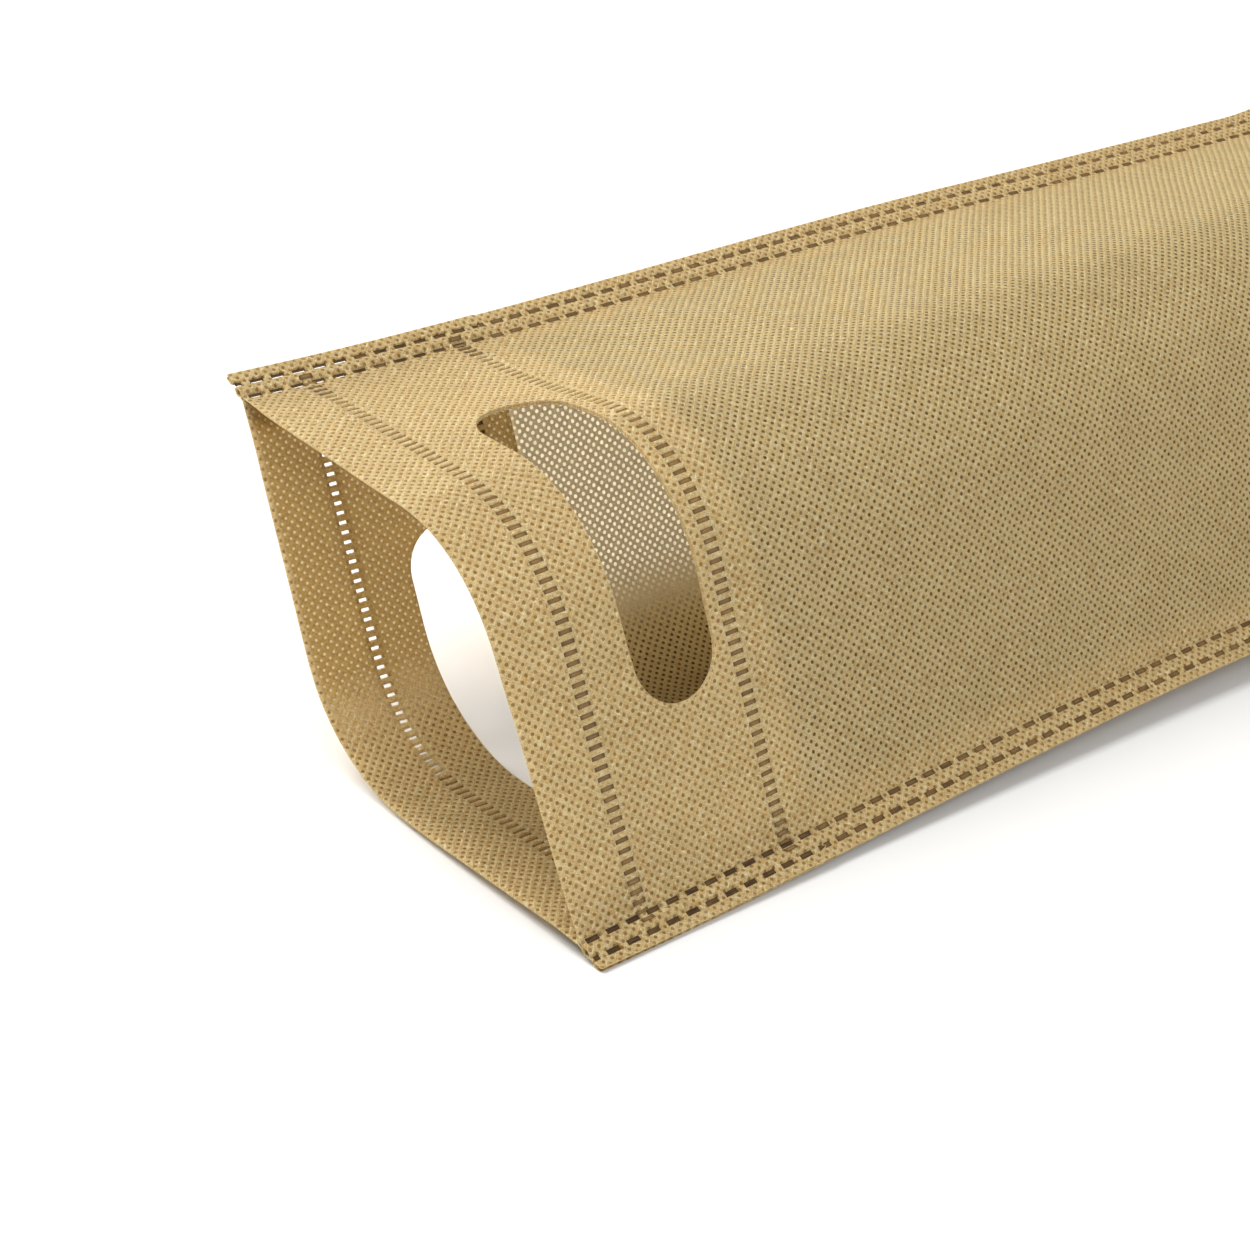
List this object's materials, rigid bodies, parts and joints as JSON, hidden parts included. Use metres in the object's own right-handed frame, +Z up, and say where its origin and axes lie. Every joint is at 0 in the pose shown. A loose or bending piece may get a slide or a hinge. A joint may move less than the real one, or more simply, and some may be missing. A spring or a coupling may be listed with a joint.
{
  "type": "bottle bag",
  "caption": "Flat non-woven cloth bag for one bottle, lying on its back and propped open, with welded seams, turned-in hems and an oblong handle hole cut in each panel.",
  "frame": {"origin": "under the middle of the bag's box, on the table it lies on", "axes": "+X from the mouth to the closed bottom, +Y to the raised side seam, +Z up off the table"},
  "size_m": [0.3804, 0.139, 0.0757],
  "materials": {
    "cloth": "spun-bonded non-woven polypropylene with point bonds",
    "hem_cloth": "turned-in layer of the same non-woven cloth",
    "weld": "melted and pressed polypropylene"
  },
  "bodies": {
    "root": {"front_panel": "cloth", "back_panel": "cloth", "front_hem": "hem_cloth", "back_hem": "hem_cloth", "near_seam_inner_welds": "weld", "near_seam_outer_welds": "weld", "far_seam_inner_welds": "weld", "far_seam_outer_welds": "weld", "bottom_seam_inner_welds": "weld", "bottom_seam_outer_welds": "weld", "front_mouth_welds": "weld", "front_handle_welds": "weld", "back_mouth_welds": "weld", "back_handle_welds": "weld"}
  },
  "joints": []
}
